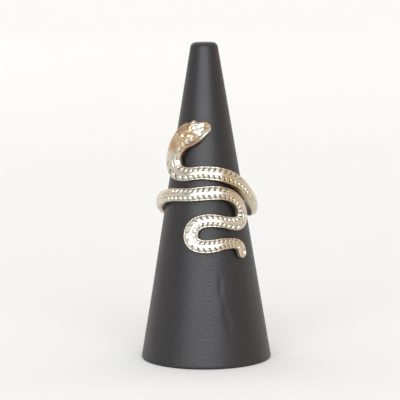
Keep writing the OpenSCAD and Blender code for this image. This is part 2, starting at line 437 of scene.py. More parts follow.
# %% One spot as a node group
spot = bpy.data.node_groups.new("soft_spot", "GeometryNodeTree")
for name in ("Along", "Across") + SPOT_COLUMNS:
    spot.interface.new_socket(name, in_out="INPUT", socket_type="NodeSocketFloat")
spot.interface.new_socket("Rise", in_out="OUTPUT", socket_type="NodeSocketFloat")
given = add_node(spot, "NodeGroupInput").outputs
off_along = add_node(
    spot, "ShaderNodeMath", [given["Along"], given["At Along"]], operation="SUBTRACT"
)
off_across = add_node(
    spot, "ShaderNodeMath", [given["Across"], given["At Across"]], operation="SUBTRACT"
)
share_along = add_node(
    spot, "ShaderNodeMath", [off_along, given["Half Length"]], operation="DIVIDE"
)
share_across = add_node(
    spot, "ShaderNodeMath", [off_across, given["Half Width"]], operation="DIVIDE"
)
offset = add_node(spot, "ShaderNodeCombineXYZ", [share_along, share_across])
reach = add_node(spot, "ShaderNodeVectorMath", [offset, offset], operation="DOT_PRODUCT")
inside = add_node(
    spot, "ShaderNodeMath", [1.0, reach.outputs["Value"]], operation="SUBTRACT", use_clamp=True
)
shape = add_node(
    spot,
    "ShaderNodeMapRange",
    {"Value": inside, "From Max": given["Edge"]},
    interpolation_type="SMOOTHSTEP",
)
top = add_node(
    spot, "ShaderNodeMath", [off_across, given["Facing"], given["Height"]], operation="MULTIPLY_ADD"
)
rise = add_node(spot, "ShaderNodeMath", [shape, top], operation="MULTIPLY")
add_node(spot, "NodeGroupOutput", [rise])
print(len(spot.nodes), "nodes in", spot.name)

# %% [markdown]
# ## The skin of the snake
# The skin could be a curve with a bevel, but then its section could not change or carry ribs.
# Here it is a closed can with one ring of points for each station. A rule moves every point:
# its height in the can picks the station, and its turn round the can picks the place on the
# section. The rule first works in the flat, where the relief is easy to say, and then wraps the
# result round the finger and leans the ring on its cone. Because the can is closed from the
# start, the casting has no seam to mend.

# %% The rule's inputs, and the can
tree = bpy.data.node_groups.new("snake_skin", "GeometryNodeTree")
SKIN_INPUTS = {
    "Route": "NodeSocketGeometry",
    "Stations": "NodeSocketInt",
    "Around": "NodeSocketInt",
    "Bore Radius": "NodeSocketFloat",
    "Route Radius": "NodeSocketFloat",
    "Rim Height": "NodeSocketFloat",
    "Rim Share": "NodeSocketFloat",
    "Groove Depth": "NodeSocketFloat",
    "Line Depth": "NodeSocketFloat",
    "Relief Blend": "NodeSocketFloat",
    "Eye Push": "NodeSocketFloat",
    "Hollow Shade": "NodeSocketFloat",
    "Edge Wear": "NodeSocketFloat",
    "Tilt": "NodeSocketFloat",
    "Lean": "NodeSocketFloat",
    "Place": "NodeSocketVector",
    "Scale": "NodeSocketFloat",
    "Material": "NodeSocketMaterial",
}
for name, kind in SKIN_INPUTS.items():
    tree.interface.new_socket(name, in_out="INPUT", socket_type=kind)
tree.interface.new_socket("Skin", in_out="OUTPUT", socket_type="NodeSocketGeometry")
given = add_node(tree, "NodeGroupInput").outputs

rings = add_node(tree, "ShaderNodeMath", [given["Stations"], 1.0], operation="SUBTRACT")
can = add_node(
    tree,
    "GeometryNodeMeshCylinder",
    {"Vertices": given["Around"], "Side Segments": rings, "Radius": 1.0, "Depth": 1.0},
    fill_type="TRIANGLE_FAN",
)
can_place = add_node(tree, "GeometryNodeInputPosition")
place = add_node(tree, "ShaderNodeSeparateXYZ", [can_place]).outputs
can_turn = add_node(tree, "ShaderNodeCombineXYZ", [place[0], place[1]])
from_axis = add_node(tree, "ShaderNodeVectorMath", [can_turn], operation="LENGTH")
# 1 on the side of the can, 0 at the middle point of its two ends
on_side = add_node(
    tree, "ShaderNodeMath", [from_axis.outputs["Value"], 0.5], operation="GREATER_THAN"
)
up_share = add_node(tree, "ShaderNodeMath", [place[2], 0.5], operation="ADD")
station_place = add_node(tree, "ShaderNodeMath", [up_share, rings], operation="MULTIPLY")
station = add_node(tree, "FunctionNodeFloatToInt", [station_place], rounding_mode="ROUND")
angle = add_node(tree, "ShaderNodeMath", [place[1], place[0]], operation="ARCTAN2")
turn_share = add_node(tree, "ShaderNodeMath", [angle, -math.pi], operation="DIVIDE")
# 0 at the crest, 1 at the middle of the inner face
round_share = add_node(tree, "ShaderNodeMath", [turn_share], operation="ABSOLUTE")
side_sign = add_node(tree, "ShaderNodeMath", [turn_share], operation="SIGN")
print(len(tree.nodes), "nodes so far")

# %% [markdown]
# Small curves turn the place round the can into the section: how far out across the body a
# point lies, and how high it is between the inner face and the back. They give most of the
# points to the back, a few to the steep outer wall and the rest to the smooth inner face. The
# back has a smooth band on its crest, a row of cushions on each side, and a smooth rim.

# %% The section
# Place across the body (1 at its edge), against the place round the can
ACROSS_CURVE = [(0, 0), (0.7, 0.92), (0.76, 0.97), (0.82, 1), (0.86, 1), (0.88, 0.97), (1, 0)]
# Height between the inner face (0) and the back (1), against the place round the can
LEVEL_CURVE = [(0, 1), (0.7, 1), (0.75, 0.95), (0.8, 0.7), (0.85, 0.2), (0.88, 0), (1, 0)]
# Height of the back between its rim (0) and its crest (1), against the place across
ARCH_CURVE = [
    (0, 1), (0.12, 0.995), (0.22, 0.97), (0.3, 0.94), (0.54, 0.84), (0.7, 0.64), (0.8, 0.4),
    (0.86, 0.24), (0.96, 0.12), (1, 0),
]
# Where the grooves between the ribs are cut: not in the band on the crest, and not in the rim
CUT_CURVE = [(0, 0), (0.22, 0), (0.28, 1), (0.8, 1), (0.85, 0), (1, 0)]
# Round of a row of cushions, which falls to a line along the band and to one along the rim
BAND_CURVE = [(0, 0), (0.19, 0), (0.255, 1), (0.31, 0.5), (0.38, 0.15), (0.48, 0), (1, 0)]
RIM_CURVE = [(0, 0), (0.62, 0), (0.7, 0.15), (0.77, 0.45), (0.82, 0.7), (0.88, 0), (1, 0)]

across_share = add_node(
    tree, "ShaderNodeFloatCurve", {"Value": round_share}, ACROSS_CURVE, soft=False
)
level = add_node(tree, "ShaderNodeFloatCurve", {"Value": round_share}, LEVEL_CURVE, soft=False)
arch, cut_share, band_line, rim_line = [
    add_node(tree, "ShaderNodeFloatCurve", {"Value": across_share}, curve_points)
    for curve_points in (ARCH_CURVE, CUT_CURVE, BAND_CURVE, RIM_CURVE)
]
print(len(tree.nodes), "nodes so far")

# %% What the station says
at_station = {}
for name in station_values:
    layer = add_node(
        tree, "GeometryNodeInputNamedAttribute", {"Name": name}, data_type="FLOAT_VECTOR"
    )
    sample = add_node(
        tree,
        "GeometryNodeSampleIndex",
        {"Geometry": given["Route"], "Value": layer, "Index": station},
        data_type="FLOAT_VECTOR",
    )
    at_station[name] = add_node(tree, "ShaderNodeSeparateXYZ", [sample]).outputs
width, crest, lean_here = at_station["sizes"]
distance, sweep, upward = at_station["cut"]
band_strength, rim_strength, tone_and_shade_here = at_station["lines"]
left_ribs, right_ribs, flare = at_station["sides"]
spine = add_node(
    tree,
    "GeometryNodeSampleIndex",
    {"Geometry": given["Route"], "Value": can_place, "Index": station},
    data_type="FLOAT_VECTOR",
)
print(len(tree.nodes), "nodes so far")

# %% [markdown]
# The crest of the head isn't in the middle of it: it leans to the upper side, so that the broad
# near cheek faces the front. Where the body runs behind the lower bend, the foot of its right
# side is flared. Both are shifts sideways: the lean fades out towards the inner face, and the
# flare towards the back.

# %% Place across the body
half_width = add_node(tree, "ShaderNodeMath", [width, 0.5], operation="MULTIPLY")
out_share = add_node(tree, "ShaderNodeMath", [across_share, on_side], operation="MULTIPLY")
out_mm = add_node(tree, "ShaderNodeMath", [out_share, half_width], operation="MULTIPLY")
plain_side = add_node(tree, "ShaderNodeMath", [out_mm, side_sign], operation="MULTIPLY")
out_squared = add_node(tree, "ShaderNodeMath", [out_share, out_share], operation="MULTIPLY")
lean_share = add_node(tree, "ShaderNodeMath", [1.0, out_squared], operation="SUBTRACT")
lean_shift = add_node(tree, "ShaderNodeMath", [lean_here, lean_share], operation="MULTIPLY")
lean_on_back = add_node(tree, "ShaderNodeMath", [lean_shift, level], operation="MULTIPLY")
leaning_side = add_node(
    tree, "ShaderNodeMath", [plain_side, lean_on_back], operation="SUBTRACT"
)
on_left = add_node(tree, "ShaderNodeMath", [side_sign, 0.0], operation="GREATER_THAN")
inside_share = add_node(tree, "ShaderNodeMath", [1.0, level], operation="SUBTRACT")
flare_here = add_node(tree, "ShaderNodeMix", {0: on_left, 2: flare, 3: 0.0})
flare_share = add_node(tree, "ShaderNodeMath", [inside_share, out_share], operation="MULTIPLY")
flare_mm = add_node(tree, "ShaderNodeMath", [flare_here, flare_share], operation="MULTIPLY")
side = add_node(tree, "ShaderNodeMath", [leaning_side, flare_mm], operation="SUBTRACT")
print(len(tree.nodes), "nodes so far")

# %% [markdown]
# The ribs are counted along the body, so the fraction of the count says where on a rib a point
# is. It is read a little nearer the head the further out the point lies: that bends each groove
# into a chevron that points to the head.

# %% Ribs and fine lines
# Depth of the cut against the place on a rib: deep at both ends and round on top
RIB_CURVE = [
    (0, 1), (0.07, 0.88), (0.15, 0.5), (0.24, 0.18), (0.34, 0.04), (0.5, 0), (0.66, 0.04),
    (0.76, 0.18), (0.85, 0.5), (0.93, 0.88), (1, 1),
]
fall_back = add_node(tree, "ShaderNodeMath", [out_mm, sweep], operation="MULTIPLY")
rib_place = add_node(tree, "ShaderNodeMath", [distance, fall_back], operation="SUBTRACT")
route_curve = add_node(tree, "GeometryNodeMeshToCurve", {"Mesh": given["Route"]})
across_layer = add_node(
    tree, "GeometryNodeInputNamedAttribute", {"Name": "across"}, data_type="FLOAT_VECTOR"
)
rib_count = add_node(
    tree,
    "GeometryNodeSampleCurve",
    {
        "Curves": route_curve,
        "Value": add_node(tree, "ShaderNodeSeparateXYZ", [across_layer]).outputs[2],
        "Length": rib_place,
    },
    mode="LENGTH",
    data_type="FLOAT",
    use_all_curves=True,
)
on_rib = add_node(tree, "ShaderNodeMath", [rib_count], operation="FRACT")
rib_shape = add_node(tree, "ShaderNodeFloatCurve", {"Value": on_rib}, RIB_CURVE)
rib_cut = add_node(tree, "ShaderNodeMath", [rib_shape, cut_share], operation="MULTIPLY")
rib_mm = add_node(tree, "ShaderNodeMath", [rib_cut, given["Groove Depth"]], operation="MULTIPLY")
band_here = add_node(tree, "ShaderNodeMath", [band_line, band_strength], operation="MULTIPLY")
line_share = add_node(
    tree, "ShaderNodeMath", [rim_line, rim_strength, band_here], operation="MULTIPLY_ADD"
)
line_mm = add_node(tree, "ShaderNodeMath", [line_share, given["Line Depth"]], operation="MULTIPLY")
rib_strength = add_node(tree, "ShaderNodeMix", {0: on_left, 2: right_ribs, 3: left_ribs})
rib_here = add_node(tree, "ShaderNodeMath", [rib_mm, rib_strength], operation="MULTIPLY")
relief = add_node(
    tree, "ShaderNodeMath", [rib_here, line_mm, given["Relief Blend"]], operation="SMOOTH_MAX"
)
print(len(tree.nodes), "nodes so far")

# %% [markdown]
# The height of the back is built up like a carver's wax: first a rim and a smooth arch over it,
# then the cuts of the grooves and the fine lines, and last the eyes and the other spots. The
# inner face stays on the finger, and the middle point of each end lies half way up.

# %% Spots of the head
spot_rise = {}
for name, rows in (("eyes", EYES), ("head", HEAD_SPOTS)):
    for row in rows:
        one = add_node(
            tree,
            "GeometryNodeGroup",
            {"Along": distance, "Across": side, **dict(zip(SPOT_COLUMNS, row))},
            node_tree=spot,
        )
        if name in spot_rise:
            one = add_node(tree, "ShaderNodeMath", [spot_rise[name], one], operation="ADD")
        spot_rise[name] = one
bumps = add_node(
    tree, "ShaderNodeMath", [spot_rise["eyes"], spot_rise["head"]], operation="ADD"
)
print(len(tree.nodes), "nodes so far")

# %% Height above the finger
rim_limit = add_node(tree, "ShaderNodeMath", [crest, given["Rim Share"]], operation="MULTIPLY")
rim = add_node(tree, "ShaderNodeMath", [given["Rim Height"], rim_limit], operation="MINIMUM")
above_rim = add_node(tree, "ShaderNodeMath", [crest, rim], operation="SUBTRACT")
arch_mm = add_node(tree, "ShaderNodeMath", [above_rim, arch], operation="MULTIPLY")
smooth_back = add_node(tree, "ShaderNodeMath", [rim, arch_mm], operation="ADD")
cut_back = add_node(tree, "ShaderNodeMath", [smooth_back, relief], operation="SUBTRACT")
full_back = add_node(tree, "ShaderNodeMath", [cut_back, bumps], operation="ADD")
rise_side = add_node(tree, "ShaderNodeMath", [full_back, level], operation="MULTIPLY")
rise_end = add_node(tree, "ShaderNodeMath", [crest, 0.5], operation="MULTIPLY")
rise_mm = add_node(tree, "ShaderNodeMix", {0: on_side, 2: rise_end, 3: rise_side})
print(len(tree.nodes), "nodes so far")

# %% [markdown]
# An eye also stands out to its side, so the far one shows beyond the outline of the head. Then
# the flat sheet is wrapped: the distance round becomes an angle, and the height above the
# finger becomes a radius.

# %% Wrap it round the finger and lean it on the cone
eye_side = add_node(tree, "ShaderNodeMath", [spot_rise["eyes"], side_sign], operation="MULTIPLY")
eye_push = add_node(tree, "ShaderNodeMath", [eye_side, given["Eye Push"]], operation="MULTIPLY")
eye_on_back = add_node(tree, "ShaderNodeMath", [eye_push, level], operation="MULTIPLY")
full_side = add_node(tree, "ShaderNodeMath", [side, eye_on_back], operation="ADD")
across_way = add_node(
    tree, "ShaderNodeCombineXYZ", [at_station["across"][0], at_station["across"][1]]
)
across_step = add_node(
    tree, "ShaderNodeVectorMath", {0: across_way, "Scale": full_side}, operation="SCALE"
)
flat_place = add_node(tree, "ShaderNodeVectorMath", [spine, across_step], operation="ADD")
flat_parts = add_node(tree, "ShaderNodeSeparateXYZ", [flat_place]).outputs
finger_angle = add_node(
    tree, "ShaderNodeMath", [flat_parts[0], given["Route Radius"]], operation="DIVIDE"
)
up_mm = add_node(tree, "ShaderNodeSeparateXYZ", [across_step]).outputs[1]
tilt_here = add_node(tree, "ShaderNodeMath", [upward, given["Tilt"]], operation="MULTIPLY")
tilt_mm = add_node(tree, "ShaderNodeMath", [up_mm, tilt_here], operation="MULTIPLY")
tilt_on_back = add_node(tree, "ShaderNodeMath", [tilt_mm, level], operation="MULTIPLY")
tilted_mm = add_node(tree, "ShaderNodeMath", [rise_mm, tilt_on_back], operation="SUBTRACT")
radius = add_node(tree, "ShaderNodeMath", [given["Bore Radius"], tilted_mm], operation="ADD")
sine = add_node(tree, "ShaderNodeMath", [finger_angle], operation="SINE")
cosine = add_node(tree, "ShaderNodeMath", [finger_angle], operation="COSINE")
to_right = add_node(tree, "ShaderNodeMath", [radius, sine], operation="MULTIPLY")
to_front = add_node(tree, "ShaderNodeMath", [radius, cosine], operation="MULTIPLY")
to_back = add_node(tree, "ShaderNodeMath", [to_front, -1.0], operation="MULTIPLY")
wrapped = add_node(tree, "ShaderNodeCombineXYZ", [to_right, to_back, flat_parts[1]])
leaning = add_node(
    tree,
    "ShaderNodeVectorRotate",
    {"Vector": wrapped, "Angle": given["Lean"]},
    rotation_type="X_AXIS",
)
placed = add_node(tree, "ShaderNodeVectorMath", [leaning, given["Place"]], operation="ADD")
scaled = add_node(
    tree, "ShaderNodeVectorMath", {0: placed, "Scale": given["Scale"]}, operation="SCALE"
)
print(len(tree.nodes), "nodes so far")

# %% [markdown]
# The material has to know how deep a groove is, where the inner face is and how coppery the
# plate is. That could be painted by hand, but the rule already knows it, so it is kept as three
# values of the mesh. The rim is rubbed a little all along the ribbed body. On the head, the
# hollows between the raised spots get painted shade, a more coppery tone down to a limit, and
# the raised spots are painted paler.

# %% Values for the material
# Between these places across, the rubbed look sets in towards the rim
EDGE_WEAR_FROM = 0.76
EDGE_WEAR_TO = 0.9
# Hollows deeper than this, in mm, get no more painted shade
DEEPEST_HOLLOW_SHADE = -0.04

edge_wear = add_node(
    tree,
    "ShaderNodeMapRange",
    {
        "Value": across_share,
        "From Min": EDGE_WEAR_FROM,
        "From Max": EDGE_WEAR_TO,
        "To Max": given["Edge Wear"],
    },
)
edge_wear_tone_and_shade = add_node(
    tree, "ShaderNodeMath", [edge_wear, rim_strength, tone_and_shade_here], operation="MULTIPLY_ADD"
)
# Painted shade: hollows of the head get a more coppery tone, and raised spots a paler one
hollow_shade = add_node(
    tree, "ShaderNodeMath", [spot_rise["head"], DEEPEST_HOLLOW_SHADE], operation="MAXIMUM"
)
tone_and_shade = add_node(
    tree, "ShaderNodeMath", [hollow_shade, given["Hollow Shade"], edge_wear_tone_and_shade], operation="MULTIPLY_ADD"
)
marked = can
for name, value in (("cut_depth", relief), ("inner_face", inside_share), ("plate_tone_and_shade", tone_and_shade)):
    marked = add_node(
        tree,
        "GeometryNodeStoreNamedAttribute",
        {"Geometry": marked, "Name": name, "Value": value},
        data_type="FLOAT",
    )
print(len(tree.nodes), "nodes so far")

# %% Move the points and finish the tree
moved = add_node(tree, "GeometryNodeSetPosition", {"Geometry": marked, "Position": scaled})
smooth = add_node(tree, "GeometryNodeSetShadeSmooth", [moved])
realized = add_node(tree, "GeometryNodeRealizeInstances", [smooth])
finished = add_node(
    tree, "GeometryNodeSetMaterial", {"Geometry": realized, "Material": given["Material"]}
)
add_node(tree, "NodeGroupOutput", [finished])
print(len(tree.nodes), "nodes in the skin's rule")

# %% [markdown]
# ## Colours and materials
# Colours are written as sRGB hex, the way a colour picker shows them, and one function turns
# them to the linear light that the renderer adds up. Each material starts with an empty graph.

# %% Colours and new materials
def linear(hex_colour):
    """An sRGB hex colour as linear RGBA."""
    parts = [int(hex_colour[i:i + 2], 16) / 255 for i in (1, 3, 5)]
    return [p / 12.92 if p <= 0.04045 else ((p + 0.055) / 1.055) ** 2.4 for p in parts] + [1]


def start_material(name):
    """A new material and its graph, which is still empty."""
    material = bpy.data.materials.new(name)
    material.use_nodes = True
    material.node_tree.nodes.clear()
    return material, material.node_tree


print("#808080 is", round(linear("#808080")[0], 3), "in linear light")

# %% [markdown]
# ## The gold-tone alloy
# The ring is cast zinc or brass under a thin, very pale gold plate, tumbled to a polish. The eye
# gets crisp, nearly white glints on the crests and a coppery tone in places, which on the rim is
# rubbed plate. The darker copper behind the eyes is painted shade, and so is the brown of the
# grooves, which are also duller, as the polish doesn't reach them. A metal takes its colour from
# the base colour alone, so four colours are mixed by the values that the rule left on the mesh,
# and a noise pattern makes the coppery places uneven.

# %% Colours and finish of the plate
POLISHED_GOLD = "#DADAD1"
COPPERY_GOLD = "#CDB491"
DARK_COPPER_SHADE = "#AE907A"
GROOVE_SHADE_BROWN = "#7A7058"
# Depths of a cut, in mm, between which the plate turns to the brown painted shade of the grooves
GROOVE_FROM = 0.08
GROOVE_TO = 0.26
# Skin of the casting, drawn as coarse as it needs to show, and size of the uneven patches
CAST_GRAIN_MM = 0.35
CAST_GRAIN_DEPTH_MM = 0.01
TUMBLE_WEAR_MM = 2.5
# Most of a noise pattern lies between these values
NOISE_LOW = 0.3
NOISE_HIGH = 0.7
# The patches where the plate is rubbed least and most
PATCH_FROM = 0.35
PATCH_TO = 0.6
LEAST_RUBBED = 0.4
# Roughness of the polish, and how much duller the grooves and the inner face are
POLISH_LOW = 0.21
POLISH_HIGH = 0.27
GROOVE_DULLNESS = 0.15
INNER_DULLNESS = 0.3
print("plate", POLISHED_GOLD, "roughness", POLISH_LOW, "to", POLISH_HIGH)

# %% Patterns on the plate, and the values of the mesh
gold, shader_tree = start_material("pale_gold_plate")
object_place = add_node(shader_tree, "ShaderNodeTexCoord").outputs["Object"]
in_mm = add_node(
    shader_tree, "ShaderNodeVectorMath", {0: object_place, "Scale": 1 / MM}, operation="SCALE"
)
cut_depth, inner_face, plate_tone_and_shade = [
    add_node(shader_tree, "ShaderNodeAttribute", attribute_name=name).outputs["Fac"]
    for name in ("cut_depth", "inner_face", "plate_tone_and_shade")
]
in_groove = add_node(
    shader_tree,
    "ShaderNodeMapRange",
    {"Value": cut_depth, "From Min": GROOVE_FROM, "From Max": GROOVE_TO},
)
wear = add_node(
    shader_tree,
    "ShaderNodeTexNoise",
    {"Vector": in_mm, "Scale": 1 / TUMBLE_WEAR_MM, "Detail": 3.0, "Roughness": 0.6},
)
grain = add_node(
    shader_tree,
    "ShaderNodeTexNoise",
    {"Vector": in_mm, "Scale": 1 / CAST_GRAIN_MM, "Detail": 2.0, "Roughness": 0.5},
)
print("patches", TUMBLE_WEAR_MM, "mm, casting skin", CAST_GRAIN_MM, "mm")

# %% Colour of the plate
rubbed_patches = add_node(
    shader_tree,
    "ShaderNodeMapRange",
    {"Value": wear, "From Min": PATCH_FROM, "From Max": PATCH_TO, "To Min": LEAST_RUBBED},
)
tone_and_shade_share = add_node(
    shader_tree, "ShaderNodeMath", [rubbed_patches, plate_tone_and_shade], operation="MULTIPLY"
)
plate_colour = add_node(
    shader_tree,
    "ShaderNodeMix",
    {0: tone_and_shade_share, 6: linear(POLISHED_GOLD), 7: linear(COPPERY_GOLD)},
    data_type="RGBA",
)
dark_copper_share = add_node(
    shader_tree, "ShaderNodeMath", [tone_and_shade_share, 1.0], operation="SUBTRACT", use_clamp=True
)
# Above 1 the tone goes to a darker copper: painted shade on the back of the head and in its hollows
tone_and_shade_colour = add_node(
    shader_tree,
    "ShaderNodeMix",
    {0: dark_copper_share, 6: plate_colour.outputs[2], 7: linear(DARK_COPPER_SHADE)},
    data_type="RGBA",
)
# Painted shade: the brown mixed in by the depth of a cut darkens the grooves
groove_shade_colour = add_node(
    shader_tree,
    "ShaderNodeMix",
    {0: in_groove, 6: tone_and_shade_colour.outputs[2], 7: linear(GROOVE_SHADE_BROWN)},
    data_type="RGBA",
)
print(len(shader_tree.nodes), "nodes for the colour")

# %% Polish and casting skin, and the finished plate
wear_roughness = add_node(
    shader_tree,
    "ShaderNodeMapRange",
    {
        "Value": wear,
        "From Min": NOISE_LOW,
        "From Max": NOISE_HIGH,
        "To Min": POLISH_LOW,
        "To Max": POLISH_HIGH,
    },
)
unpolished = add_node(
    shader_tree, "ShaderNodeMath", [inner_face, INNER_DULLNESS], operation="MULTIPLY"
)
groove_roughness = add_node(
    shader_tree,
    "ShaderNodeMath",
    [in_groove, GROOVE_DULLNESS, unpolished],
    operation="MULTIPLY_ADD",
)
roughness = add_node(
    shader_tree, "ShaderNodeMath", [wear_roughness, groove_roughness], operation="ADD"
)
cast_bump = add_node(
    shader_tree,
    "ShaderNodeBump",
    {"Height": grain, "Strength": 0.1, "Distance": CAST_GRAIN_DEPTH_MM * MM},
)
plate = add_node(
    shader_tree,
    "ShaderNodeBsdfPrincipled",
    {
        "Base Color": groove_shade_colour.outputs[2],
        "Metallic": 1.0,
        "Roughness": roughness,
        "Normal": cast_bump,
    },
)
add_node(shader_tree, "ShaderNodeOutputMaterial", [plate])
print("made", gold.name)

# %% [markdown]
# ## Run the rule on the route
# The ring leans back on the cone, so that its front lies along the slope. It sits where its
# bore meets the cone, with a little play on both sides. The height of the cone is read from the
# frame, and its widths are those that it has before its edges are rounded.

# %% The snake ring
CONE_HEIGHT = round(cone_high.z / MM, 2)
FOOT_WIDTH = 26.2
TOP_WIDTH = 5.2
SIDE_PLAY = 0.89
RING_LEAN = 9.5
RING_RIGHT = 0.35
RING_BACK = 0.45

cone_slope = (FOOT_WIDTH - TOP_WIDTH) / 2 / CONE_HEIGHT
ring_height = (FOOT_WIDTH / 2 - RING_BORE / 2 + SIDE_PLAY) / cone_slope
skin_values = {
    "Stations": len(stations),
    "Around": 80,
    "Bore Radius": RING_BORE / 2,
    "Route Radius": ROUTE_RADIUS,
    "Rim Height": RIM_THICKNESS,
    "Rim Share": 0.75,
    "Groove Depth": 0.28,
    "Line Depth": 0.14,
    "Relief Blend": 0.06,
    "Eye Push": 0.9,
    "Hollow Shade": -6,
    "Edge Wear": 0.35,
    "Tilt": 0.1,
    "Lean": -math.radians(RING_LEAN),
    "Place": (RING_RIGHT, RING_BACK, ring_height),
    "Scale": MM,
    "Material": gold,
}
modifier = snake.modifiers.new("skin", "NODES")
modifier.node_group = tree
for socket in tree.interface.items_tree:
    if socket.name in skin_values:
        modifier[socket.identifier] = skin_values[socket.name]
graph = bpy.context.evaluated_depsgraph_get()
snake_mesh = bpy.data.meshes.new_from_object(
    snake.evaluated_get(graph), preserve_all_data_layers=True, depsgraph=graph
)
snake.modifiers.remove(modifier)
snake.data = snake_mesh
print("ring", round(ring_height, 2), "mm up,", len(snake_mesh.vertices), "points")

# %% [markdown]
# ## The display cone
# A display cone is a stiff core wrapped in one sheet of leatherette, with a butt seam down the
# back and the sheet turned in under the foot. A lathe profile gives its body: it is written as
# points, so that its rows are close enough for creases. The wrap is not perfectly tight, so long
# soft creases are pressed into the mesh all round, and three narrow ones low on the front.

# %% Profile of the cone
TOP_ROUND = 1.1
FOOT_ROUND = 0.4
CORNER_STEPS = 8
SIDE_STEP = 0.45
TURNED_EDGE = 3
BASE_RECESS = 0.25
BASE_SLOPE = 0.1
BASE_ROWS = 6
LID_ROWS = 5

lean_angle = math.atan(cone_slope)
foot_x = FOOT_WIDTH / 2 - FOOT_ROUND * (1 + math.sin(lean_angle)) / math.cos(lean_angle)
top_x = TOP_WIDTH / 2 - TOP_ROUND * (1 - math.sin(lean_angle)) / math.cos(lean_angle)


def corner(x, z, r, start, end):
    """Points of a rounded corner of the profile."""
    turns = np.linspace(start, end, CORNER_STEPS)
    return [(x + r * math.cos(a), z + r * math.sin(a)) for a in turns]


foot = corner(foot_x, FOOT_ROUND, FOOT_ROUND, -math.pi / 2, lean_angle)
top = corner(top_x, CONE_HEIGHT - TOP_ROUND, TOP_ROUND, lean_angle, math.pi / 2)
side_rows = int(CONE_HEIGHT / SIDE_STEP)
side_points = [
    (foot[-1][0] + (top[0][0] - foot[-1][0]) * k / side_rows,
     foot[-1][1] + (top[0][1] - foot[-1][1]) * k / side_rows)
    for k in range(1, side_rows)
]
base_x = foot_x - TURNED_EDGE
base = [(base_x * k / BASE_ROWS, BASE_RECESS) for k in range(1, BASE_ROWS + 1)]
base.append((base_x + BASE_SLOPE, 0))
lid = [(top_x * k / LID_ROWS, CONE_HEIGHT) for k in range(LID_ROWS - 1, 0, -1)]
profile = np.array(base + foot + side_points + top + lid)
print(len(profile), "profile points")

# %% Creases and seam
AROUND_CONE = 240
SEAM_DEPTH = 0.12
SEAM_HALF_WIDTH = 0.35
# Creases and seam fade out over this height at the foot and at the top
WRAP_FADE = 3
# Columns: angle round the cone in degrees (0 at the front, positive to the right), height,
# half width, half length, depth, lean as mm sideways for each mm up.
CREASES = [
    (16, 16, 0.45, 2, 0.1, 0),
    (20, 10.5, 0.45, 2.5, 0.1, -0.1),
    (24, 9, 0.45, 2, 0.08, 0),
    (4, 14, 1.6, 8, 0.04, 0.1),
    (-35, 9, 1.4, 9, 0.05, 0.15),
    (60, 16, 1.8, 10, 0.05, -0.1),
    (110, 12, 1.5, 9, 0.06, 0.15),
    (155, 20, 1.6, 12, 0.05, -0.1),
    (205, 14, 1.5, 9, 0.05, 0.1),
    (265, 18, 1.7, 11, 0.06, -0.15),
    (310, 10, 1.5, 8, 0.05, 0.1),
]

turns = np.arange(AROUND_CONE) * 2 * math.pi / AROUND_CONE
turn_grid, radius_grid = np.meshgrid(turns, profile[:, 0])
height_grid = np.repeat(profile[:, 1][:, None], AROUND_CONE, 1)
on_wrap = np.clip((height_grid - FOOT_ROUND) / WRAP_FADE, 0, 1) * np.clip(
    (CONE_HEIGHT - TOP_ROUND - height_grid) / WRAP_FADE, 0, 1
)
pressed = np.zeros_like(turn_grid)
for turn_deg, height, half_width, half_length, depth, slant in CREASES:
    from_middle = (turn_grid - math.radians(turn_deg) + math.pi) % (2 * math.pi) - math.pi
    sideways = from_middle * radius_grid - slant * (height_grid - height)
    pressed += depth * np.exp(-(sideways / half_width) ** 2) * np.exp(
        -((height_grid - height) / half_length) ** 2
    )
from_back = np.abs((turn_grid % (2 * math.pi)) - math.pi) * radius_grid
pressed += SEAM_DEPTH * np.clip(1 - from_back / SEAM_HALF_WIDTH, 0, 1)
radii = radius_grid - pressed * on_wrap
print("pressed in by up to", round(float((radius_grid - radii).max()), 2), "mm")

# %% The cone's mesh
points = np.stack([radii * np.sin(turn_grid), -radii * np.cos(turn_grid), height_grid], -1)
points = points.reshape(-1, 3).tolist() + [(0, 0, BASE_RECESS), (0, 0, CONE_HEIGHT)]
faces = []
for row in range(len(profile) - 1):
    for k in range(AROUND_CONE):
        a = row * AROUND_CONE + k
        b = row * AROUND_CONE + (k + 1) % AROUND_CONE
        faces.append((a, b, b + AROUND_CONE, a + AROUND_CONE))
last_row = (len(profile) - 1) * AROUND_CONE
for k in range(AROUND_CONE):
    following = (k + 1) % AROUND_CONE
    faces.append((len(points) - 2, following, k))
    faces.append((len(points) - 1, last_row + k, last_row + following))
cone_mesh = bpy.data.meshes.new("leatherette_cone")
cone_mesh.from_pydata((np.array(points) * MM).tolist(), [], faces)
cone_mesh.shade_smooth()
cone = put_in_scene("leatherette_cone", cone_mesh)
print(len(faces), "faces on the cone")

# %% [markdown]
# ## Black leatherette
# The wrap is cloth with a soft black PVC coat, embossed with a fine grain. The eye gets a dull
# black with a satin sheen down the middle, in which the grain shows. A smooth noise makes the
# colour and the sheen a little uneven, and rounded cells make the bumps of the grain. The IOR
# starts from PVC's 1.54 and is a little higher, to match the sheen.

# %% Embossed PVC leatherette
LEATHER_BLACK = "#0A0A0E"
LEATHER_GREY = "#121217"
# Grain of the emboss, drawn about twice as coarse as the real one so that it shows
GRAIN_MM = 0.4
GRAIN_DEPTH_MM = 0.035
MOTTLE_MM = 6
SATIN_LOW = 0.42
SATIN_HIGH = 0.48

leatherette, shader_tree = start_material("black_pvc_leatherette")
object_place = add_node(shader_tree, "ShaderNodeTexCoord").outputs["Object"]
in_mm = add_node(
    shader_tree, "ShaderNodeVectorMath", {0: object_place, "Scale": 1 / MM}, operation="SCALE"
)
mottle = add_node(
    shader_tree,
    "ShaderNodeTexNoise",
    {"Vector": in_mm, "Scale": 1 / MOTTLE_MM, "Detail": 4.0, "Roughness": 0.6},
)
cells = add_node(
    shader_tree,
    "ShaderNodeTexVoronoi",
    {"Vector": in_mm, "Scale": 1 / GRAIN_MM},
    feature="SMOOTH_F1",
)
print("grain", GRAIN_MM, "mm")

